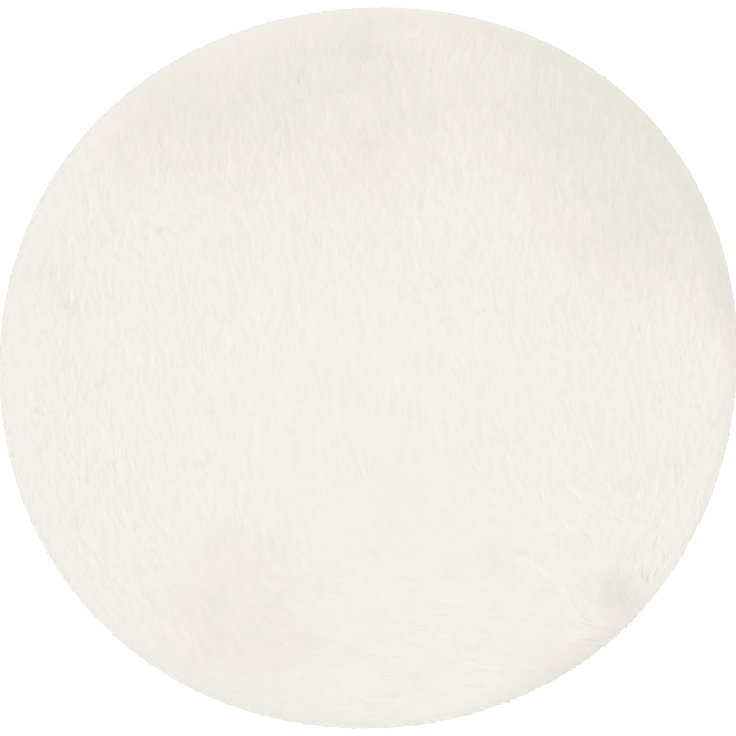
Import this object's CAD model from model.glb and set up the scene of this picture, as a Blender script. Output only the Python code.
"""A round faux sheepskin rug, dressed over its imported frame.

A knitted ground lies on the floor and bears the pile's dense body. Thousands of strands are combed
over that body along a table of strokes and drawn into locks, and shorter locks hang over its rim.
The tools appear in the 3D view's sidebar, under Rug.
"""

import math

import bmesh
import bpy
from bpy.props import FloatProperty, FloatVectorProperty, IntProperty, PointerProperty
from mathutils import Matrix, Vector, noise
from mathutils.bvhtree import BVHTree


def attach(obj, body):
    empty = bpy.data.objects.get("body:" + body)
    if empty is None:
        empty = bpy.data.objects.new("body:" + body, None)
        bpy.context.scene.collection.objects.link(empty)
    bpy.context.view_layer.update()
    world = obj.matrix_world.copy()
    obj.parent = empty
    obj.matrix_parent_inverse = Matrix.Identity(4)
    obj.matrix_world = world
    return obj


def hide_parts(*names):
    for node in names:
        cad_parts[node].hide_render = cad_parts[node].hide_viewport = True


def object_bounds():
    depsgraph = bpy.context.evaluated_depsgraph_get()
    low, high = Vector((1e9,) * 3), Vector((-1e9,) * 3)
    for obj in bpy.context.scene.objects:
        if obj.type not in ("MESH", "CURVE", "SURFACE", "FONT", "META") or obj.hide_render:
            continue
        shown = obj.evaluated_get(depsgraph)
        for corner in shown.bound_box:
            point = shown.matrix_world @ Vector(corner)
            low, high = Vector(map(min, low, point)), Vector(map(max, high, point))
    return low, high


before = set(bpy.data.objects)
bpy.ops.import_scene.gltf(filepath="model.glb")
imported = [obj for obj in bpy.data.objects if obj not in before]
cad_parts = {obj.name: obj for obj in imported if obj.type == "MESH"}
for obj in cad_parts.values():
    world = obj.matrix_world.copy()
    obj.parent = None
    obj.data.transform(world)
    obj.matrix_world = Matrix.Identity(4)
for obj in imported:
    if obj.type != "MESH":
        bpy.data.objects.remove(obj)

bl_info = {
    "name": "Faux sheepskin rug",
    "version": (1, 0, 0),
    "blender": (4, 5, 0),
    "location": "View3D > Sidebar > Rug",
    "description": "Dresses a round rug with a knitted ground and a combed long pile",
    "category": "Object",
}

CAD_NODE = "fur_rug"
CAD_SLOT = "faux_fur"
CAD_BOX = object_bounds()
RUG_RADIUS = (CAD_BOX[1].x - CAD_BOX[0].x) / 2
PILE_TOP = CAD_BOX[1].z
UP = (0.0, 0.0, 1.0)

GROUND = "knitted_ground"
BED = "pile_bed"
RIM_LOCKS = "rim_locks"
FUR = "combed_fur"
SWEEP = "white_sweep"
PILE_TREE = "laid_pile"
PILE_ZONES = 6

# The way the pile is combed. Each stroke pulls the pile near it towards its heading.
COMB_STROKES = (
    # name, x and y as shares of the radius, reach as a share of it, heading in degrees from +X
    ("middle", 0.00, 0.10, 0.50, -77),
    ("upper middle", 0.05, 0.58, 0.34, -82),
    ("head", 0.10, 0.96, 0.20, -118),
    ("upper right rim", 0.42, 0.90, 0.12, -112),
    ("right shoulder", 0.62, 0.68, 0.30, -86),
    ("right side", 0.92, 0.15, 0.34, -90),
    ("lower right rim", 0.88, -0.40, 0.20, -104),
    ("lower right", 0.52, -0.30, 0.24, -62),
    ("left of the whorl", 0.60, -0.50, 0.10, -44),
    ("right of the whorl", 0.76, -0.53, 0.12, -112),
    ("below the whorl", 0.60, -0.74, 0.18, -18),
    ("foot", 0.05, -0.80, 0.34, -6),
    ("below the middle", 0.10, -0.50, 0.24, -20),
    ("lower left", -0.55, -0.52, 0.30, -56),
    ("left side", -0.86, 0.02, 0.40, -76),
    ("upper left", -0.55, 0.62, 0.40, -80),
)
# The noises that make the comb waver.
COMB_WAVERS = (
    # name, the most it turns in radians, waves for each metre, layer of the noise
    ("slow", 0.26, 13.0, 0.3),
    ("quick", 0.10, 34.0, 7.9),
)

# Where the pile's lie turns it from the light.
SHADED = (
    # name, x and y as shares of the radius, reach as a share of it, how dark
    ("right shoulder", 0.74, 0.50, 0.32, 0.50),
    ("right shoulder's edge", 0.86, 0.43, 0.10, 0.22),
    ("above the right shoulder", 0.56, 0.76, 0.18, 0.38),
    ("upper right edge", 0.34, 0.87, 0.13, 0.14),
    ("head", 0.02, 0.78, 0.38, 0.36),
    ("head's edge", -0.02, 0.90, 0.07, 0.16),
    ("below the head", 0.02, 0.71, 0.10, 0.12),
    ("left of the head", -0.19, 0.83, 0.13, 0.15),
    ("right edge", 0.96, 0.22, 0.10, 0.34),
    ("right side", 0.64, -0.18, 0.18, 0.12),
    ("below the middle", 0.08, -0.28, 0.22, 0.12),
    ("foot", -0.16, -0.78, 0.26, 0.17),
    ("lower right edge", 0.47, -0.80, 0.15, 0.20),
    ("lower left edge", -0.50, -0.78, 0.12, 0.14),
    ("lower left", -0.42, -0.62, 0.24, 0.24),
    ("left side", -0.77, 0.02, 0.10, 0.12),
    ("upper left edge", -0.88, 0.29, 0.15, 0.26),
    ("upper left", -0.47, 0.62, 0.33, 0.23),
    ("upper left rim", -0.56, 0.76, 0.18, 0.32),
    ("whorl", 0.675, -0.605, 0.055, 0.95),
    ("pressed spot", 0.34, -0.50, 0.05, 0.25),
)
DARKEST_SHADE = 0.85

# Where the pile turns down at the rim and shows its darker side.
DARK_RIM = (
    # name, middle and reach in degrees from +X, how dark
    ("upper right", 52, 34, 0.50),
    ("right", 10, 28, 0.32),
    ("lower right", -55, 15, 0.42),
)
DARK_RIM_FROM = (0.90, 0.985)  # where it begins and where it is full, as shares of the way to the rim

# Slow patches all over the pile, from a fractal noise.
PATCH_DEPTH = 0.10
PATCH_WAVES = 11.0  # for each metre
PATCH_LAYER = 2.0
PATCH_OCTAVES = (0.6, 2.2, 4)  # how fast they fade, how their scale steps, and how many there are

# Where the pile lies more loosely than it does all over.
LOOSE = (
    # name, x and y as shares of the radius, reach as a share of it, how loose
    ("whorl", 0.66, -0.60, 0.16, 0.30),
    ("upper parting", 0.85, -0.30, 0.08, 0.55),
    ("lower parting", 0.78, -0.46, 0.08, 0.55),
    ("head", 0.15, 0.86, 0.32, 0.16),
    ("below the whorl", 0.60, -0.74, 0.10, 0.50),
    ("foot", 0.10, -0.88, 0.30, 0.05),
    ("lower left", -0.80, -0.42, 0.24, 0.06),
    ("right shoulder", 0.76, 0.45, 0.26, 0.04),
    ("upper right rim", 0.45, 0.86, 0.20, 0.05),
)
LOOSE_ALL_OVER = 0.22
LOOSE_AT_RIM = 0.08  # and this much more
LOOSE_FROM = (0.70, 0.92)  # where that begins and where it is full, as shares of the way to the rim

# The clumps in which strands catch the light one by one.
FLECK_STRENGTH = 0.60
FLECK_WAVES = 28.0  # for each metre
FLECK_LAYER = 0.17
FLECK_CLUMPS = (-0.10, 0.40)  # the noise where a clump begins and where it is full
FLECK_SPREAD = (0.25, 0.75)  # they come in over these shares of the way to the rim
FLECK_FOOT = (-0.80, -0.55)  # and, above the foot, over these shares of the radius

RIM_ROUNDNESS = 1.8  # the power by which the rim falls
RIM_DROP = 0.6  # how far it falls on the way over it, as a share of the pile's height
RIM_BAND = (0.60, 0.95)  # where rim locks are rooted, from 0 on the crown to 1 at the floor
RIM_TURN = 0.32  # how far a rim lock's heading points outwards at the least

# Cells a side of the square grids that are bent into discs.
BED_CELLS = 150
GROUND_CELLS = 56

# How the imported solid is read. Distances are in metres.
OUTLINE_STEPS = 180
OUTLINE_SEARCH = (0.5, 1.1)  # shares of the radius between which the underside ends
CLOSE_ENOUGH = 1e-4
UNDER_FLOOR = 0.1  # where rays up start
OVER_PILE = 1.0  # where rays down start
SEAM_NUDGE = 2e-5

# The room for a strand before the plan ends is sought in steps, over this many strand lengths.
ROOM_STEP = 0.002
ROOM_SOUGHT = 1.2

FACES_UP = 0.1  # the least upward part of a normal that is levelled

# How each material takes the light.
FINISHES = {
    # name: roughness and sheen
    FUR: (0.62, 0.25),
    BED: (0.80, 0.20),
    GROUND: (0.85, 0.10),
    SWEEP: (0.90, 0.00),
}
SHEEN_ROUGHNESS = 0.45
PALE_FROM = 0.7  # the share of a strand's length from which it has its tip's colour
FIBRES = 900.0
FIBRE_DETAIL = 3.0
FIBRE_BUMP = (0.3, 0.0004)  # strength, and height in metres
WALES = (160.0, 0.6)  # scale and distortion
ROWS = (110.0, 0.8)
KNIT_BUMP = (0.7, 0.0006)
KNIT_SHADE = 0.82  # of the ground's colour, between its loops

# How strands and locks differ by chance. The numbers of the draws keep them apart.
LOCK_CHANCES = (
    # name, least, most, draw
    ("lock_curl", -0.18, 0.18, 1),
    ("lock_rise", 0.0, 1.0, 2),
    ("lock_tone", 0.0, 1.0, 3),
    ("lock_turn", -0.10, 0.10, 4),
)
STRAND_CHANCES = (
    # name, least, most, draw
    ("own_turn", -0.11, 0.11, 5),
    ("own_curl", -0.12, 0.12, 6),
    ("own_size", 0.75, 1.15, 7),
    ("own_rise", 0.0, 1.0, 8),
    ("own_tone", 0.0, 1.0, 9),
    ("own_pull", 0.6, 1.0, 10),
)
# The values that help to make strands, and are dropped from the finished mesh.
DRAFT_NAMES = ("lock_", "own_", "strand_", "skin", "plan", "lie", "room", "zone", "root")
DRAFT_NAMES += ("loose", "fleck", "shade")

# How densely points are thrown on each square metre, before those too near to others are dropped.
LOCK_DENSITY = 90000.0
STRAND_DENSITY = 400000.0

# A strand's form. Its widths are shares of its greatest width.
STRAND_POINTS = 4
SECTION_SIDES = 3
SECTION_DEPTH = 0.3
ROOT_WIDTH = 0.65
ROOT_SWELL = 1.2
TIP_WIDTH = 0.1
TAPER_POWER = 2.5

# How strands stand off the bed. A high power leaves it to a few of them.
ROOT_SINK = 0.001  # metres
ROOT_POWER = 3.0
LEAST_LIFT = 0.0003  # metres
LEAST_RISE = 0.04  # this and the next two are shares of the tip rise
LOOSE_LOCK_RISE = 0.5
STRAY_RISE = 2.0
LOCK_POWER = 4.0
STRAY_POWER = 6.0
SIDE_TURN = 0.5  # how far a strand's flat side turns to face upwards

# How strands are toned, and how far some of them shade on their own.
TONE_SPREAD = 0.05
DARK_POWER = 3.0
DARK_STRENGTH = 2.0
DARKEST_TONE = 0.95
PARTED_POWER = 1.5
BROKEN_POWER = 2.0
PARTED_STRENGTH = 2.0
MOST_PARTED = 0.8

# The stage.
FLOOR_SIZE = 40.0
WALLS_END = (0.15, 0.5)  # the heights between which the walls' light gives way to the ceiling's
KEY_SIDE_LEAN = -0.25  # to the rug's left, as a share of the lean to its head
CAMERA_SHIFT = 0.002  # towards the rug's head


def number(name, description, default, **kind):
    return FloatProperty(name=name, description=description, default=default, **kind)


def metres(name, description, default):
    return number(name, description, default, unit="LENGTH")


def fraction(name, description, default):
    return number(name, description, default, subtype="FACTOR")


def tint(name, description, default):
    return FloatVectorProperty(
        name=name, description=description, default=default, size=3, subtype="COLOR"
    )


class RugGroundSettings(bpy.types.PropertyGroup):
    thickness: metres("Thickness", "Thickness of the knitted ground", 0.0025)
    inset: metres("Inset", "How far the ground ends inside the pile's rim", 0.009)
    colour: tint("Colour", "Colour of the knitted ground", (0.80, 0.78, 0.72))


class RugPileSettings(bpy.types.PropertyGroup):
    bed_depth: metres(
        "Bed depth", "How far the pile's dense body lies below the packed solid's crown", 0.0035
    )
    bed_foot: metres("Bed foot", "How high over the floor the pile's dense body begins", 0.0029)
    rim_fringe: metres(
        "Rim fringe", "How far the pile's body reaches past the flat of the underside", 0.0245
    )
    rim_round: metres("Rim round", "Width of the rim over which the pile falls to the floor", 0.030)
    length: metres("Length", "Length of a strand that shows above the bed", 0.025)
    width: metres("Width", "Width of a strand at its widest", 0.0015)
    spacing: metres("Spacing", "Least distance between strands", 0.0032)
    lock_spacing: metres(
        "Lock spacing", "Least distance between the locks that strands gather into", 0.0075
    )
    lock_pull: fraction("Lock pull", "How strongly a strand's tip is drawn to its lock's tip", 0.30)
    tip_rise: metres(
        "Tip rise",
        "How far loose strands' tips stand off the bed. The loosest rise over twice as far",
        0.0004,
    )
    overhang: metres(
        "Overhang", "How far the longest strands reach past the pile's body at the rim", 0.003
    )
    softness: fraction(
        "Softness", "How far strands shade as one soft surface instead of as separate strands", 0.96
    )
    levelness: fraction(
        "Levelness",
        "How far the pile's slopes shade as if they were level, as light spreads in deep pile",
        0.95,
    )
    seed: IntProperty(name="Seed", description="Starts every random choice in the pile", default=7)
    tip_colour: tint("Tip colour", "Colour of the strands' tips", (0.945, 0.915, 0.87))
    root_colour: tint("Root colour", "Colour of the strands' roots", (0.935, 0.90, 0.85))
    bed_colour: tint("Bed colour", "Colour of the pile's dense body", (0.955, 0.922, 0.876))
    shade_colour: tint("Shade colour", "Colour of the darkest strands", (0.82, 0.795, 0.70))


class RugRimSettings(bpy.types.PropertyGroup):
    length: metres("Length", "Length of a rim lock's strands", 0.012)
    width: metres("Width", "Width of a rim lock's strand at its widest", 0.0018)
    spacing: metres("Spacing", "Least distance between the strands of rim locks", 0.0038)
    lock_spacing: metres("Lock spacing", "Least distance between rim locks", 0.010)
    lock_pull: fraction(
        "Lock pull", "How strongly a strand's tip is drawn to its rim lock's tip", 0.55
    )
    lock_rise: fraction(
        "Lock rise",
        "How much more rim locks stand off the rim, as a share of the pile's tip rise",
        0.10,
    )
    overhang: metres("Overhang", "How far the longest of them reach past the pile's body", 0.0016)
    softness: fraction(
        "Softness", "How far rim locks shade as one soft surface instead of as separate strands", 0.97
    )
    levelness: fraction("Levelness", "How far rim locks shade as if they lay level", 0.60)


class RugStageSettings(bpy.types.PropertyGroup):
    floor_colour: tint("Floor colour", "Colour of the floor", (1.0, 1.0, 1.0))
    floor_glow: number("Floor glow", "Strength of the floor's own light", 0.6)
    wall_strength: number("Wall strength", "Brightness of the room's walls", 0.9)
    ceiling_strength: number("Ceiling strength", "Brightness of the room's ceiling", 0.10)
    key_strength: number("Key strength", "Strength of the even light from over the rug", 2.58)
    key_angle: number(
        "Key angle",
        "Width of the light from over the rug, which softens its shadows",
        math.radians(36),
        subtype="ANGLE",
    )
    key_lean: number(
        "Key lean",
        "How far the light from over the rug leans towards its head",
        math.radians(10),
        subtype="ANGLE",
    )
    lens: number("Lens", "Focal length of the camera", 85.0)


def smooth_step(low, high, value):
    share = min(max((value - low) / (high - low), 0.0), 1.0)
    return share * share * (3.0 - 2.0 * share)


def nearness(point, x, y, reach):
    """How near a point is to a place in shares of the radius: 1 there, and fading with distance."""
    away = (point.xy / RUG_RADIUS - Vector((x, y))).length / reach
    return math.exp(-away * away)


def in_noise(point, waves, layer):
    """Where a point of the plan lies in a noise of so many waves for each metre."""
    return Vector((point.x, point.y, layer)) * waves


def comb(point):
    """The unit direction in which the pile lies at a point of the plan, with its waver."""
    pull = Vector((0.0, 0.0))
    for _, x, y, reach, heading in COMB_STROKES:
        turn = math.radians(heading)
        pull += nearness(point, x, y, reach) * Vector((math.cos(turn), math.sin(turn)))
    waver = sum(
        most * noise.noise(in_noise(point, waves, layer))
        for _, most, waves, layer in COMB_WAVERS
    )
    turn = math.atan2(pull.y, pull.x) + waver
    return Vector((math.cos(turn), math.sin(turn), 0.0))


def spilled(point):
    """The heading of a lock that hangs over the rim: along the comb, but turned outwards."""
    out = Vector((point.x, point.y, 0.0)).normalized()
    heading = comb(point)
    side = heading - heading.dot(out) * out
    outwards = max(heading.dot(out), RIM_TURN)
    return (outwards * out + (1.0 - outwards) * side).normalized()


class RugShape:
    """The rug's form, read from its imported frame: its outline, and the dense body of its pile.

    The body's skin is mapped on a flat plan, on which a point's distance from the middle is the way
    to it along the skin: over the crown, round the rim and down to the floor.
    """

    def __init__(self, pile):
        solid = bmesh.new()
        solid.from_mesh(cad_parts[CAD_NODE].data)
        self.tree = BVHTree.FromBMesh(solid)
        solid.free()
        self.depth = pile.bed_depth
        self.rim = pile.rim_round
        self.fringe = pile.rim_fringe
        self.foot = pile.bed_foot
        steps = range(OUTLINE_STEPS)
        self.radii = [self.underside_radius(2 * math.pi * step / OUTLINE_STEPS) for step in steps]

    def underside_radius(self, angle):
        """How far the flat underside reaches at this angle."""
        low, high = (share * RUG_RADIUS for share in OUTLINE_SEARCH)
        out = Vector((math.cos(angle), math.sin(angle), 0.0))
        while high - low > CLOSE_ENOUGH:
            middle = (low + high) / 2
            below = middle * out - Vector((0.0, 0.0, UNDER_FLOOR))
            hit = self.tree.ray_cast(below, Vector(UP))[0]
            if hit is not None and hit.z < CLOSE_ENOUGH:
                low = middle
            else:
                high = middle
        return low

    def radius(self, angle):
        """How far the pile's body reaches at this angle."""
        place = angle / (2 * math.pi) * OUTLINE_STEPS
        step = math.floor(place)
        here = self.radii[step % OUTLINE_STEPS]
        there = self.radii[(step + 1) % OUTLINE_STEPS]
        return here + (place - step) * (there - here) + self.fringe

    def crown(self, x, y):
        """The height of the body's crown here. Two rays seek it, as one could slip through a seam."""
        rays = (Vector((x + nudge, y, OVER_PILE)) for nudge in (-SEAM_NUDGE, SEAM_NUDGE))
        hits = [self.tree.ray_cast(ray, -Vector(UP))[0] for ray in rays]
        return max(hit.z for hit in hits if hit is not None) - self.depth

    def rim_way(self):
        """The way along the skin from where the crown ends, over the rim, to the floor."""
        return math.hypot(self.rim, RIM_DROP * PILE_TOP)

    def reach(self, angle):
        """How far the plan reaches at this angle."""
        return self.radius(angle) - self.rim + self.rim_way()

    def rim_share(self, plan):
        """How far out a point of the plan lies: 0 in the middle, and 1 where the plan ends."""
        return plan.length / self.reach(math.atan2(plan.y, plan.x))

    def past_flat(self, plan):
        """How far over the rim a point of the plan lies: 0 on the crown, and 1 at the floor."""
        flat = self.radius(math.atan2(plan.y, plan.x)) - self.rim
        return min(max((plan.length - flat) / self.rim_way(), 0.0), 1.0)

    def on_plan(self, unit):
        """The point of the plan for a point of the unit disc."""
        spot = self.reach(math.atan2(unit.y, unit.x)) * unit
        return Vector((spot.x, spot.y, 0.0))

    def skin(self, plan):
        """The point of the skin for a point of the plan."""
        past = self.past_flat(plan)
        if past == 0.0:
            return Vector((plan.x, plan.y, self.crown(plan.x, plan.y)))
        angle = math.atan2(plan.y, plan.x)
        flat = self.radius(angle) - self.rim
        out = Vector((math.cos(angle), math.sin(angle)))
        across = flat + self.rim * past
        top = self.crown(*(flat * out))
        height = self.foot + (top - self.foot) * (1.0 - past**RIM_ROUNDNESS)
        return Vector((across * out.x, across * out.y, height))


def bent_to_disc(x, y):
    """A point of the square from -1 to 1, moved so that the square's rings become circles."""
    if x == 0 and y == 0:
        return Vector((0.0, 0.0))
    if abs(x) > abs(y):
        radius, angle = x, math.pi / 4 * y / x
    else:
        radius, angle = y, math.pi / 2 - math.pi / 4 * x / y
    return radius * Vector((math.cos(angle), math.sin(angle)))


def disc_grid(cells, place):
    """A disc of even cells. place turns a point of the unit disc into a point of the piece."""
    mesh = bmesh.new()
    bmesh.ops.create_grid(mesh, x_segments=cells, y_segments=cells, size=1.0)
    for vert in mesh.verts:
        vert.co = place(bent_to_disc(vert.co.x, vert.co.y))
    return mesh


def close_below(mesh, height):
    """Walls from the grid's rim down to this height, and a flat face that closes them."""
    edges = [edge for edge in mesh.edges if edge.is_boundary]
    grown = bmesh.ops.extrude_edge_only(mesh, edges=edges)["geom"]
    for vert in (item for item in grown if isinstance(item, bmesh.types.BMVert)):
        vert.co.z = height
    edges = [e for e in grown if isinstance(e, bmesh.types.BMEdge) and e.is_boundary]
    bmesh.ops.contextual_create(mesh, geom=edges)
    bmesh.ops.recalc_face_normals(mesh, faces=mesh.faces)


def make_object(name, mesh):
    if isinstance(mesh, bmesh.types.BMesh):
        data = bpy.data.meshes.new(name)
        mesh.to_mesh(data)
        mesh.free()
    else:
        data = mesh
        data.name = name
    obj = bpy.data.objects.new(name, data)
    bpy.context.scene.collection.objects.link(obj)
    return obj


def finish_piece(obj):
    """Joins a piece to the rug's one body, in place of its plain solid."""
    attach(obj, "root")
    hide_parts(CAD_NODE)


# Materials


class Graph:
    """Adds nodes to a tree. An input is a number or another node's output."""

    def __init__(self, tree):
        self.tree = tree

    def add(self, kind, inputs=None, **settings):
        node = self.tree.nodes.new(kind)
        for name, value in settings.items():
            setattr(node, name, value)
        for name, value in (inputs or {}).items():
            self.feed(node.inputs[name], value)
        return node

    def feed(self, socket, value):
        if isinstance(value, bpy.types.NodeSocket):
            self.tree.links.new(value, socket)
        else:
            socket.default_value = value

    def math(self, operation, first, second=0.0, third=0.0):
        node = self.add("ShaderNodeMath", {0: first, 1: second}, operation=operation)
        if operation == "MULTIPLY_ADD":
            self.feed(node.inputs[2], third)
        return node.outputs[0]

    def vector(self, operation, first, second=(0.0, 0.0, 0.0)):
        node = self.add("ShaderNodeVectorMath", {0: first, 1: second}, operation=operation)
        return node.outputs[0]

    def scaled(self, vector, factor):
        node = self.add("ShaderNodeVectorMath", {0: vector, "Scale": factor}, operation="SCALE")
        return node.outputs[0]

    def mix(self, factor, first, second, kind="FLOAT"):
        sockets = {"FLOAT": (0, 2, 3), "VECTOR": (0, 4, 5), "RGBA": (0, 6, 7)}[kind]
        values = dict(zip(sockets, (factor, first, second)))
        node = self.add("ShaderNodeMix", values, data_type=kind)
        return node.outputs[{"FLOAT": 0, "VECTOR": 1, "RGBA": 2}[kind]]

    def bump(self, height, strength_and_distance):
        strength, distance = strength_and_distance
        values = {"Height": height, "Strength": strength, "Distance": distance}
        return self.add("ShaderNodeBump", values).outputs[0]


def new_material(name):
    roughness, sheen = FINISHES[name]
    material = bpy.data.materials.new(name)
    material.use_nodes = True
    graph = Graph(material.node_tree)
    shader = material.node_tree.nodes["Principled BSDF"]
    shader.inputs["Roughness"].default_value = roughness
    shader.inputs["Sheen Weight"].default_value = sheen
    shader.inputs["Sheen Roughness"].default_value = SHEEN_ROUGHNESS
    return material, graph, shader


def fur_material(pile):
    """Long pile, paler towards the tips. Its map holds each strand's tone, and the way along it."""
    material, graph, shader = new_material(FUR)
    uv = graph.add("ShaderNodeUVMap", uv_map="OFBake").outputs[0]
    split = graph.add("ShaderNodeSeparateXYZ", {0: uv})
    tone, along = split.outputs[0], split.outputs[1]
    pale = graph.add("ShaderNodeMapRange", {"Value": along, "From Min": 0.0, "From Max": PALE_FROM})
    body = graph.mix(pale.outputs[0], (*pile.root_colour, 1), (*pile.tip_colour, 1), "RGBA")
    colour = graph.mix(tone, body, (*pile.shade_colour, 1), "RGBA")
    graph.feed(shader.inputs["Base Color"], colour)
    return material


def bed_material(pile):
    """The dense body of the pile, seen only between strands."""
    material, graph, shader = new_material(BED)
    place = graph.add("ShaderNodeTexCoord").outputs["Object"]
    amount = graph.add("ShaderNodeAttribute", attribute_name="shade").outputs["Fac"]
    colour = graph.mix(amount, (*pile.bed_colour, 1), (*pile.shade_colour, 1), "RGBA")
    graph.feed(shader.inputs["Base Color"], colour)
    fibre = graph.add(
        "ShaderNodeTexNoise",
        {"Vector": place, "Scale": FIBRES, "Detail": FIBRE_DETAIL},
    )
    graph.feed(shader.inputs["Normal"], graph.bump(fibre.outputs[0], FIBRE_BUMP))
    return material


def knit_material(ground):
    """A fine warp knit, whose wales show on the underside."""
    material, graph, shader = new_material(GROUND)
    place = graph.add("ShaderNodeTexCoord").outputs["Object"]
    wales, rows = (
        graph.add(
            "ShaderNodeTexWave",
            {"Vector": place, "Scale": scale, "Distortion": distortion},
            bands_direction=direction,
        ).outputs["Fac"]
        for direction, (scale, distortion) in (("X", WALES), ("Y", ROWS))
    )
    loops = graph.math("MULTIPLY", wales, rows)
    dark = (*(KNIT_SHADE * channel for channel in ground.colour), 1)
    colour = graph.mix(loops, dark, (*ground.colour, 1), "RGBA")
    graph.feed(shader.inputs["Base Color"], colour)
    graph.feed(shader.inputs["Normal"], graph.bump(loops, KNIT_BUMP))
    return material


def floor_material(stage):
    """A white sweep, lit a little from below as a light table is, so that it shows as pure white."""
    material, _, shader = new_material(SWEEP)
    shader.inputs["Base Color"].default_value = (*stage.floor_colour, 1)
    shader.inputs["Emission Color"].default_value = (*stage.floor_colour, 1)
    shader.inputs["Emission Strength"].default_value = stage.floor_glow
    return material


def studio_world(stage):
    """The light of a white room: bright walls all round, and a dimmer ceiling."""
    world = bpy.data.worlds.new("white_room")
    world.use_nodes = True
    graph = Graph(world.node_tree)
    way = graph.add("ShaderNodeTexCoord").outputs["Generated"]
    height = graph.add("ShaderNodeSeparateXYZ", {0: way}).outputs[2]
    strength = graph.add(
        "ShaderNodeMapRange",
        {
            "Value": height,
            "From Min": WALLS_END[0],
            "From Max": WALLS_END[1],
            "To Min": stage.wall_strength,
            "To Max": stage.ceiling_strength,
        },
        interpolation_type="SMOOTHSTEP",
    )
    background = world.node_tree.nodes["Background"]
    background.inputs["Color"].default_value = (1, 1, 1, 1)
    graph.feed(background.inputs["Strength"], strength.outputs[0])
    return world


# The pile's nodes


# The tree's inputs that the pile and the rim locks each have settings for.
STRAND_INPUTS = (
    "Spacing",
    "Length",
    "Width",
    "Lock Spacing",
    "Lock Pull",
    "Overhang",
    "Softness",
    "Levelness",
)


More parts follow.
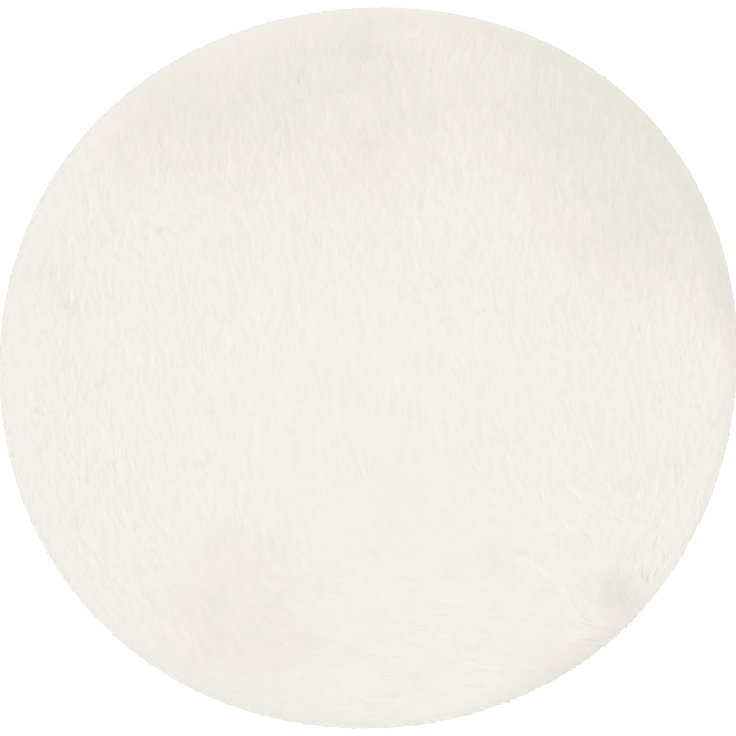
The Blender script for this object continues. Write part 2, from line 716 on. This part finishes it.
class PileGraph(Graph):
    """The nodes that turn the bed into laid strands."""

    def __init__(self, tree):
        super().__init__(tree)
        self.given = self.add("NodeGroupInput").outputs
        self.bed = self.given["Geometry"]
        self.along = self.add("GeometryNodeSplineParameter").outputs["Factor"]

    def attribute(self, name, kind="FLOAT"):
        node = self.add("GeometryNodeInputNamedAttribute", {"Name": name}, data_type=kind)
        return node.outputs[0]

    def vector_attribute(self, name):
        return self.attribute(name, "FLOAT_VECTOR")

    def store(self, geometry, name, value, kind="FLOAT", domain="POINT"):
        node = self.add(
            "GeometryNodeStoreNamedAttribute",
            {"Geometry": geometry, "Name": name},
            data_type=kind,
            domain=domain,
        )
        self.feed(node.inputs["Value"], value)
        return node.outputs[0]

    def with_chances(self, points, chances):
        """Gives each point a value of its own for every row of chances."""
        for name, least, most, draw in chances:
            seed = self.math("ADD", self.given["Seed"], float(draw))
            node = self.add("FunctionNodeRandomValue", data_type="FLOAT")
            for key, value in (("Min_001", least), ("Max_001", most), ("Seed", seed)):
                socket = next(item for item in node.inputs if item.identifier == key)
                self.feed(socket, value)
            points = self.store(points, name, node.outputs[1])
        return points

    def scattered(self, spacing, density, chosen=True):
        """Points on the chosen faces of the bed, at least the spacing apart."""
        return self.add(
            "GeometryNodeDistributePointsOnFaces",
            {
                "Mesh": self.bed,
                "Selection": chosen,
                "Distance Min": spacing,
                "Density Max": density,
                "Seed": self.given["Seed"],
            },
            distribute_method="POISSON",
        ).outputs["Points"]

    def rooted(self):
        """Dense points of this zone, which take the values of the nearest of the sparse locks."""
        locks = self.scattered(self.given["Lock Spacing"], LOCK_DENSITY)
        locks = self.with_chances(locks, LOCK_CHANCES)
        chosen = self.add(
            "FunctionNodeCompare",
            {2: self.attribute("zone", "INT"), 3: self.given["Zone"]},
            data_type="INT",
            operation="EQUAL",
        ).outputs[0]
        points = self.scattered(self.given["Spacing"], STRAND_DENSITY, chosen)
        position = self.add("GeometryNodeInputPosition").outputs[0]
        nearest = self.add("GeometryNodeSampleNearest", {0: locks, 1: position}).outputs[0]
        taken = [
            ("lock_root", position, "FLOAT_VECTOR"),
            ("lock_lie", self.vector_attribute("lie"), "FLOAT_VECTOR"),
            ("lock_room", self.attribute("room"), "FLOAT"),
        ]
        taken += [(name, self.attribute(name), "FLOAT") for name, *_ in LOCK_CHANCES]
        for name, source, kind in taken:
            sample = self.add("GeometryNodeSampleIndex", {0: locks}, data_type=kind)
            self.feed(next(item for item in sample.inputs if item.name == "Value"), source)
            self.feed(sample.inputs["Index"], nearest)
            points = self.store(points, name, sample.outputs[0], kind)
        points = self.store(points, "root", position, "FLOAT_VECTOR")
        return self.with_chances(points, STRAND_CHANCES)

    def lines(self, points):
        """One curve on each point, whose points are then moved along its path."""
        line = self.add("GeometryNodeCurvePrimitiveLine").outputs[0]
        line = self.add("GeometryNodeResampleCurve", {"Curve": line, "Count": STRAND_POINTS})
        strands = self.add(
            "GeometryNodeInstanceOnPoints", {"Points": points, "Instance": line.outputs[0]}
        )
        return self.add("GeometryNodeRealizeInstances", {0: strands.outputs[0]}).outputs[0]

    def turned(self, vector, angle):
        return self.add(
            "ShaderNodeVectorRotate",
            {"Vector": vector, "Angle": angle},
            rotation_type="Z_AXIS",
        ).outputs[0]

    def path(self, root, lie, wanted, room, curl):
        """A point along a strand's plan: out along its lie, and bent to one side by its curl.

        It reaches as far as is wanted unless the plan ends sooner, and may hang over that end.
        """
        overhang = self.math("MULTIPLY", self.attribute("own_rise"), self.given["Overhang"])
        reach = self.math("MINIMUM", wanted, self.math("ADD", room, overhang))
        side = self.vector("CROSS_PRODUCT", UP, lie)
        forward = self.math("MULTIPLY", reach, self.along)
        bend = self.math("MULTIPLY", self.math("MULTIPLY", forward, self.along), curl)
        place = self.vector("ADD", root, self.scaled(lie, forward))
        return self.vector("ADD", place, self.scaled(side, bend))

    def plan(self):
        """Where a strand's points lie on the plan: on its own path, drawn towards its lock's."""
        lock_turn = self.attribute("lock_turn")
        lock_curl = self.attribute("lock_curl")
        own_lie = self.turned(self.vector_attribute("lie"), self.attribute("own_turn"))
        own_path = self.path(
            self.vector_attribute("root"),
            self.turned(own_lie, lock_turn),
            self.math("MULTIPLY", self.given["Length"], self.attribute("own_size")),
            self.attribute("room"),
            self.math("ADD", self.attribute("own_curl"), lock_curl),
        )
        lock_path = self.path(
            self.vector_attribute("lock_root"),
            self.turned(self.vector_attribute("lock_lie"), lock_turn),
            self.given["Length"],
            self.attribute("lock_room"),
            lock_curl,
        )
        pull = self.math("MULTIPLY", self.given["Lock Pull"], self.attribute("own_pull"))
        pull = self.math("MULTIPLY", pull, self.along)
        return self.mix(pull, own_path, lock_path, "VECTOR")

    def stray(self):
        """How far a strand strays from its neighbours, which few do."""
        return self.math("POWER", self.attribute("own_rise"), STRAY_POWER)

    def lift(self):
        """How far a strand's points lie over the bed: it climbs out and ends a little off it."""
        lock_rise = self.attribute("lock_rise")
        raised = self.math("MULTIPLY", self.math("POWER", lock_rise, LOCK_POWER), LOOSE_LOCK_RISE)
        raised = self.math("MULTIPLY_ADD", self.stray(), STRAY_RISE, raised)
        raised = self.math("MULTIPLY_ADD", raised, self.attribute("loose"), LEAST_RISE)
        raised = self.math("MULTIPLY_ADD", lock_rise, self.given["Lock Rise"], raised)
        raised = self.math("MULTIPLY", raised, self.given["Tip Rise"])
        buried = self.math("POWER", self.math("SUBTRACT", 1.0, self.along), ROOT_POWER)
        sunk = self.math("MULTIPLY", buried, self.given["Root Sink"])
        lift = self.math("SUBTRACT", self.math("MULTIPLY", raised, self.along), sunk)
        return self.math("ADD", lift, LEAST_LIFT)

    def on_skin(self, name, plan):
        """What the bed's skin says under a point of the plan."""
        sample = self.add(
            "GeometryNodeSampleNearestSurface",
            {"Mesh": self.bed, "Sample Position": plan},
            data_type="FLOAT_VECTOR",
        )
        self.feed(sample.inputs["Value"], self.vector_attribute(name))
        return sample.outputs[0]

    def laid(self, strands):
        """Lays the strands on the bed's skin, and goes straight on where the skin ends."""
        plan = self.plan()
        out = self.vector("NORMALIZE", self.on_skin("skin_normal", plan))
        strands = self.store(strands, "strand_normal", out, "FLOAT_VECTOR")
        past_edge = self.vector("SUBTRACT", plan, self.on_skin("plan", plan))
        place = self.vector("ADD", self.on_skin("skin", plan), self.scaled(out, self.lift()))
        place = self.vector("ADD", place, past_edge)
        strands = self.add("GeometryNodeSetPosition", {"Geometry": strands, "Position": place})
        strands = self.add("GeometryNodeSetCurveNormal", {0: strands.outputs[0]}, mode="FREE")
        # On the steep rim a strand's flat side turns half upwards, so that it shows from above too.
        normal = self.vector_attribute("strand_normal")
        self.feed(strands.inputs["Normal"], self.mix(SIDE_TURN, normal, UP, "VECTOR"))
        return strands.outputs[0]

    def toned(self, strands):
        """Gives each strand its tone, and how far it shades with its neighbours."""
        lock_tone = self.attribute("lock_tone")
        own_tone = self.attribute("own_tone")
        broken = self.math("MAXIMUM", self.attribute("loose"), self.attribute("fleck"))
        tone = self.mix(0.5, lock_tone, own_tone)
        tone = self.math("MULTIPLY_ADD", tone, TONE_SPREAD, self.attribute("shade"))
        dark = self.math("MULTIPLY", own_tone, own_tone)
        dark = self.math("POWER", self.math("MULTIPLY", dark, lock_tone), DARK_POWER)
        dark = self.math("MULTIPLY", dark, broken)
        tone = self.math("MULTIPLY_ADD", dark, DARK_STRENGTH, tone)
        tone = self.math("MINIMUM", tone, DARKEST_TONE)
        strands = self.store(strands, "strand_tone", tone)
        strands = self.store(strands, "strand_along", self.along)
        rising = self.math("POWER", self.attribute("lock_rise"), PARTED_POWER)
        parted = self.math("MULTIPLY", self.stray(), rising)
        parted = self.math("MULTIPLY", parted, self.math("POWER", broken, BROKEN_POWER))
        parted = self.math("MULTIPLY", parted, PARTED_STRENGTH)
        parted = self.math("MINIMUM", parted, MOST_PARTED)
        return self.store(strands, "strand_soft", self.math("SUBTRACT", 1.0, parted))

    def solid(self, strands):
        """A flattened three-sided tube on each strand, widest near its root and fine at its tip."""
        taper = self.math("SUBTRACT", 1.0, self.math("POWER", self.along, TAPER_POWER))
        taper = self.math("MULTIPLY_ADD", taper, 1.0 - TIP_WIDTH, TIP_WIDTH)
        swell = self.math("MULTIPLY_ADD", self.along, ROOT_SWELL, ROOT_WIDTH)
        width = self.math("MULTIPLY", taper, self.math("MINIMUM", swell, 1.0))
        width = self.math("MULTIPLY", width, self.given["Width"])
        radius = self.math("MULTIPLY", width, self.math("MULTIPLY", self.attribute("own_size"), 0.5))
        ring = self.add("GeometryNodeCurvePrimitiveCircle", {"Resolution": SECTION_SIDES})
        ring = self.add(
            "GeometryNodeTransform",
            {"Geometry": ring.outputs[0], "Scale": (SECTION_DEPTH, 1.0, 1.0)},
        )
        ring = ring.outputs[0]
        mesh = self.add(
            "GeometryNodeCurveToMesh",
            {"Curve": strands, "Profile Curve": ring, "Scale": radius, "Fill Caps": True},
        )
        return self.add("GeometryNodeSetShadeSmooth", {"Geometry": mesh.outputs[0]}).outputs[0]

    def shaded(self, mesh):
        """Turns the strands' shading towards one soft surface, and maps their tone."""
        soft = self.vector_attribute("strand_normal")
        soft = self.mix(self.given["Levelness"], soft, UP, "VECTOR")
        softness = self.math("MULTIPLY", self.given["Softness"], self.attribute("strand_soft"))
        own_normal = self.add("GeometryNodeInputNormal").outputs[0]
        normal = self.mix(softness, own_normal, soft, "VECTOR")
        mesh = self.add("GeometryNodeSetMeshNormal", {0: mesh}, mode="FREE", domain="POINT")
        self.feed(mesh.inputs["Custom Normal"], normal)
        uv = self.add(
            "ShaderNodeCombineXYZ",
            {0: self.attribute("strand_tone"), 1: self.attribute("strand_along")},
        )
        return self.store(mesh.outputs[0], "OFBake", uv.outputs[0], "FLOAT2", "CORNER")


def pile_tree(usual):
    """Points on the bed become curves, laid along the comb, drawn into locks and made solid.

    usual names the tree's inputs, and holds their values where a piece has none of its own.
    """
    tree = bpy.data.node_groups.new(PILE_TREE, "GeometryNodeTree")
    face = tree.interface
    face.new_socket("Geometry", in_out="INPUT", socket_type="NodeSocketGeometry")
    for name, value in usual.items():
        kind = "NodeSocketInt" if isinstance(value, int) else "NodeSocketFloat"
        face.new_socket(name, in_out="INPUT", socket_type=kind).default_value = value
    face.new_socket("Material", in_out="INPUT", socket_type="NodeSocketMaterial")
    face.new_socket("Geometry", in_out="OUTPUT", socket_type="NodeSocketGeometry")
    graph = PileGraph(tree)
    strands = graph.laid(graph.lines(graph.rooted()))
    mesh = graph.shaded(graph.solid(graph.toned(strands)))
    mesh = graph.add("GeometryNodeRealizeInstances", {0: mesh}).outputs[0]
    mesh = graph.add("GeometryNodeSetMaterial", {0: mesh, "Material": graph.given["Material"]})
    graph.add("NodeGroupOutput", {"Geometry": mesh.outputs[0]})
    return tree


def read_inputs(settings, names):
    """Inputs of the tree, from the settings of the same names."""
    return {name: getattr(settings, name.lower().replace(" ", "_")) for name in names}


def strand_values(pile):
    """All inputs of the tree, for strands of the pile."""
    values = {"Zone": 0, "Root Sink": ROOT_SINK, "Lock Rise": 0.0}
    values.update(read_inputs(pile, (*STRAND_INPUTS, "Tip Rise", "Seed")))
    return values


def set_input(modifier, name, value):
    for item in modifier.node_group.interface.items_tree:
        if item.in_out == "INPUT" and item.name == name:
            modifier[item.identifier] = value
            return
    raise KeyError(name)


def grow_pile(name, bed, tree, values):
    """Runs the tree on a copy of the bed, and keeps the result as a plain mesh."""
    carrier = bed.copy()
    bpy.context.scene.collection.objects.link(carrier)
    modifier = carrier.modifiers.new("pile", "NODES")
    modifier.node_group = tree
    for key, value in values.items():
        set_input(modifier, key, value)
    graph = bpy.context.evaluated_depsgraph_get()
    mesh = bpy.data.meshes.new_from_object(carrier.evaluated_get(graph), depsgraph=graph)
    carrier.modifiers.remove(modifier)
    bpy.data.objects.remove(carrier)
    for draft in [item.name for item in mesh.attributes if item.name.startswith(DRAFT_NAMES)]:
        mesh.attributes.remove(mesh.attributes[draft])
    return make_object(name, mesh)


# Pieces


def write_attribute(mesh, name, kind, domain, values):
    """A named attribute with these values. A vector's values come one number after another."""
    attribute = mesh.attributes.new(name, kind, domain)
    attribute.data.foreach_set("vector" if kind == "FLOAT_VECTOR" else "value", values)


def shade(point, rim_share):
    """How far the pile is darkened here: by its lie, at its rim and in slow patches."""
    amount = 0.0
    for _, x, y, reach, depth in SHADED:
        amount += depth * nearness(point, x, y, reach)
    edge = smooth_step(*DARK_RIM_FROM, rim_share)
    for _, middle, reach, depth in DARK_RIM:
        turn = math.remainder(math.atan2(point.y, point.x) - math.radians(middle), 2 * math.pi)
        away = turn / math.radians(reach)
        amount += edge * depth * math.exp(-away * away)
    patch = noise.fractal(in_noise(point, PATCH_WAVES, PATCH_LAYER), *PATCH_OCTAVES)
    amount += PATCH_DEPTH * patch
    return min(max(amount, 0.0), DARKEST_SHADE)


def looseness(point, rim_share):
    """How loosely the pile lies here: more at the rim and where it is parted."""
    amount = LOOSE_ALL_OVER + LOOSE_AT_RIM * smooth_step(*LOOSE_FROM, rim_share)
    for _, x, y, reach, depth in LOOSE:
        amount += depth * nearness(point, x, y, reach)
    return min(amount, 1.0)


def flecks(point, rim_share):
    """How broken the pile's shading is here: in clumps, its strands catch the light one by one."""
    clump = noise.noise(in_noise(point, FLECK_WAVES, FLECK_LAYER))
    above_foot = smooth_step(*FLECK_FOOT, point.y / RUG_RADIUS)
    spread = above_foot * smooth_step(*FLECK_SPREAD, rim_share)
    return FLECK_STRENGTH * smooth_step(*FLECK_CLUMPS, clump) * spread


def room_before_rim(shape, point, heading, most):
    """How far a strand can run from here before the plan ends."""
    reach = 0.0
    while reach < most:
        end = point + reach * heading
        if end.xy.length > shape.reach(math.atan2(end.y, end.x)):
            break
        reach += ROOM_STEP
    return reach


def level_shading(mesh, share):
    """Turns the shading of the faces that look upwards this share of the way to level."""
    level = Vector((0.0, 0.0, share))
    normals = [corner.vector.copy() for corner in mesh.corner_normals]
    for index, own in enumerate(normals):
        if own.z > FACES_UP:
            normals[index] = ((1.0 - share) * own + level).normalized()
    mesh.normals_split_custom_set(normals)


def make_plan(name, shape, pile, heading_at, zone_at):
    """The flat plan of the skin, with what the strands that are rooted in it need to know."""
    flat = disc_grid(BED_CELLS, shape.on_plan)
    skin = flat.copy()
    for vert in skin.verts:
        vert.co = shape.skin(vert.co)
    skin.normal_update()
    plan = make_object(name, flat)
    spots = [vert.co for vert in plan.data.vertices]
    headings = [heading_at(spot) for spot in spots]
    rims = [shape.rim_share(spot) for spot in spots]
    most = ROOM_SOUGHT * pile.length
    vectors = {
        "skin": [vert.co for vert in skin.verts],
        "skin_normal": [vert.normal for vert in skin.verts],
        "plan": spots,
        "lie": headings,
    }
    numbers = {
        "room": [room_before_rim(shape, spot, lie, most) for spot, lie in zip(spots, headings)],
        "shade": [shade(spot, share) for spot, share in zip(spots, rims)],
        "loose": [looseness(spot, share) for spot, share in zip(spots, rims)],
        "fleck": [flecks(spot, share) for spot, share in zip(spots, rims)],
    }
    for key, values in vectors.items():
        flattened = [part for value in values for part in value]
        write_attribute(plan.data, key, "FLOAT_VECTOR", "POINT", flattened)
    for key, values in numbers.items():
        write_attribute(plan.data, key, "FLOAT", "POINT", values)
    zones = [zone_at(polygon.center) for polygon in plan.data.polygons]
    write_attribute(plan.data, "zone", "INT", "FACE", zones)
    skin.free()
    return plan


def make_bed(shape, pile):
    """The pile's dense body: its skin, closed by a flat underside."""
    body = disc_grid(BED_CELLS, shape.on_plan)
    spots = [vert.co.copy() for vert in body.verts]
    for vert in body.verts:
        vert.co = shape.skin(vert.co)
    edges = [edge for edge in body.edges if edge.is_boundary]
    for edge in edges:
        edge.smooth = False
    bmesh.ops.contextual_create(body, geom=edges)
    bmesh.ops.recalc_face_normals(body, faces=body.faces)
    for face in body.faces:
        face.smooth = True
    bed = make_object(BED, body)
    level_shading(bed.data, pile.levelness)
    shades = [shade(spot, shape.rim_share(spot)) for spot in spots]
    write_attribute(bed.data, "shade", "FLOAT", "POINT", shades)
    return bed


def sector(point):
    """The number of the zone of the pile in which a point of the plan lies."""
    return int(math.atan2(point.y, point.x) / (2 * math.pi) % 1.0 * PILE_ZONES)


def zone_name(zone):
    return f"combed_pile_{zone + 1}"


class RUG_OT_ground(bpy.types.Operator):
    """Lay the knitted ground on the floor"""

    bl_idname = "rug.ground"
    bl_label = "Knitted ground"

    def execute(self, context):
        settings = context.scene.rug_ground
        shape = RugShape(context.scene.rug_pile)

        def place(unit):
            outer = shape.radius(math.atan2(unit.y, unit.x)) - settings.inset
            return Vector((outer * unit.x, outer * unit.y, settings.thickness))

        mesh = disc_grid(GROUND_CELLS, place)
        close_below(mesh, 0.0)
        ground = make_object(GROUND, mesh)
        ground.data.materials.append(knit_material(settings))
        finish_piece(ground)
        return {"FINISHED"}


class RUG_OT_pile(bpy.types.Operator):
    """Grow the pile: its dense body and its combed strands"""

    bl_idname = "rug.pile"
    bl_label = "Combed pile"

    def execute(self, context):
        pile = context.scene.rug_pile
        shape = RugShape(pile)
        bed = make_bed(shape, pile)
        bed.data.materials.append(bed_material(pile))
        finish_piece(bed)
        plan = make_plan("pile_plan", shape, pile, comb, sector)
        values = strand_values(pile)
        tree = pile_tree(values)
        values["Material"] = fur_material(pile)
        for zone in range(PILE_ZONES):
            values["Zone"] = zone
            finish_piece(grow_pile(zone_name(zone), plan, tree, values))
        bpy.data.objects.remove(plan)
        return {"FINISHED"}


class RUG_OT_rim(bpy.types.Operator):
    bl_idname = "rug.rim"
    bl_label = "Rim locks"

    def execute(self, context):
        pile, rim = context.scene.rug_pile, context.scene.rug_rim
        shape = RugShape(pile)

        def zone_at(point):
            return 0 if RIM_BAND[0] < shape.past_flat(point) < RIM_BAND[1] else -1

        plan = make_plan("rim_plan", shape, pile, spilled, zone_at)
        values = strand_values(pile)
        values.update(read_inputs(rim, (*STRAND_INPUTS, "Lock Rise")))
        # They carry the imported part's own fur, which is plain and a little darker.
        values["Material"] = bpy.data.materials[CAD_SLOT]
        finish_piece(grow_pile(RIM_LOCKS, plan, bpy.data.node_groups[PILE_TREE], values))
        bpy.data.objects.remove(plan)
        return {"FINISHED"}


class RUG_OT_stage(bpy.types.Operator):
    """Set the floor, the light and the camera"""

    bl_idname = "rug.stage"
    bl_label = "Stage"

    def execute(self, context):
        stage = context.scene.rug_stage
        mesh = bmesh.new()
        bmesh.ops.create_grid(mesh, x_segments=1, y_segments=1, size=FLOOR_SIZE)
        floor = make_object("floor", mesh)
        floor.data.materials.append(floor_material(stage))

        context.scene.world = studio_world(stage)

        key = bpy.data.lights.new("key", "SUN")
        key.energy = stage.key_strength
        key.angle = stage.key_angle
        lamp = bpy.data.objects.new("key", key)
        lamp.rotation_euler = (-stage.key_lean, KEY_SIDE_LEAN * stage.key_lean, 0.0)
        context.scene.collection.objects.link(lamp)

        lens = bpy.data.cameras.new("camera")
        lens.lens = stage.lens
        camera = bpy.data.objects.new("camera", lens)
        half = math.atan(lens.sensor_width / 2 / lens.lens)
        camera.location = (0.0, CAMERA_SHIFT, RUG_RADIUS / math.tan(half) + PILE_TOP / 2)
        context.scene.collection.objects.link(camera)
        context.scene.camera = camera
        context.scene.view_settings.view_transform = "Standard"
        return {"FINISHED"}


class RUG_PT_tools(bpy.types.Panel):
    bl_label = "Faux sheepskin rug"
    bl_idname = "RUG_PT_tools"
    bl_space_type = "VIEW_3D"
    bl_region_type = "UI"
    bl_category = "Rug"

    def draw(self, context):
        for tool, settings in TOOLS:
            box = self.layout.box()
            box.operator(tool)
            for name in settings[1].__annotations__:
                box.prop(getattr(context.scene, settings[0]), name)


TOOLS = (
    ("rug.ground", ("rug_ground", RugGroundSettings)),
    ("rug.pile", ("rug_pile", RugPileSettings)),
    ("rug.rim", ("rug_rim", RugRimSettings)),
    ("rug.stage", ("rug_stage", RugStageSettings)),
)
CLASSES = (
    RugGroundSettings,
    RugPileSettings,
    RugRimSettings,
    RugStageSettings,
    RUG_OT_ground,
    RUG_OT_pile,
    RUG_OT_rim,
    RUG_OT_stage,
    RUG_PT_tools,
)


def register():
    for item in CLASSES:
        bpy.utils.register_class(item)
    for _, (name, settings) in TOOLS:
        setattr(bpy.types.Scene, name, PointerProperty(type=settings))


def unregister():
    for _, (name, _) in TOOLS:
        delattr(bpy.types.Scene, name)
    for item in reversed(CLASSES):
        bpy.utils.unregister_class(item)


def main():
    register()
    bpy.ops.rug.ground()
    bpy.ops.rug.pile()
    bpy.ops.rug.rim()
    bpy.ops.rug.stage()


if __name__ == "__main__":
    main()
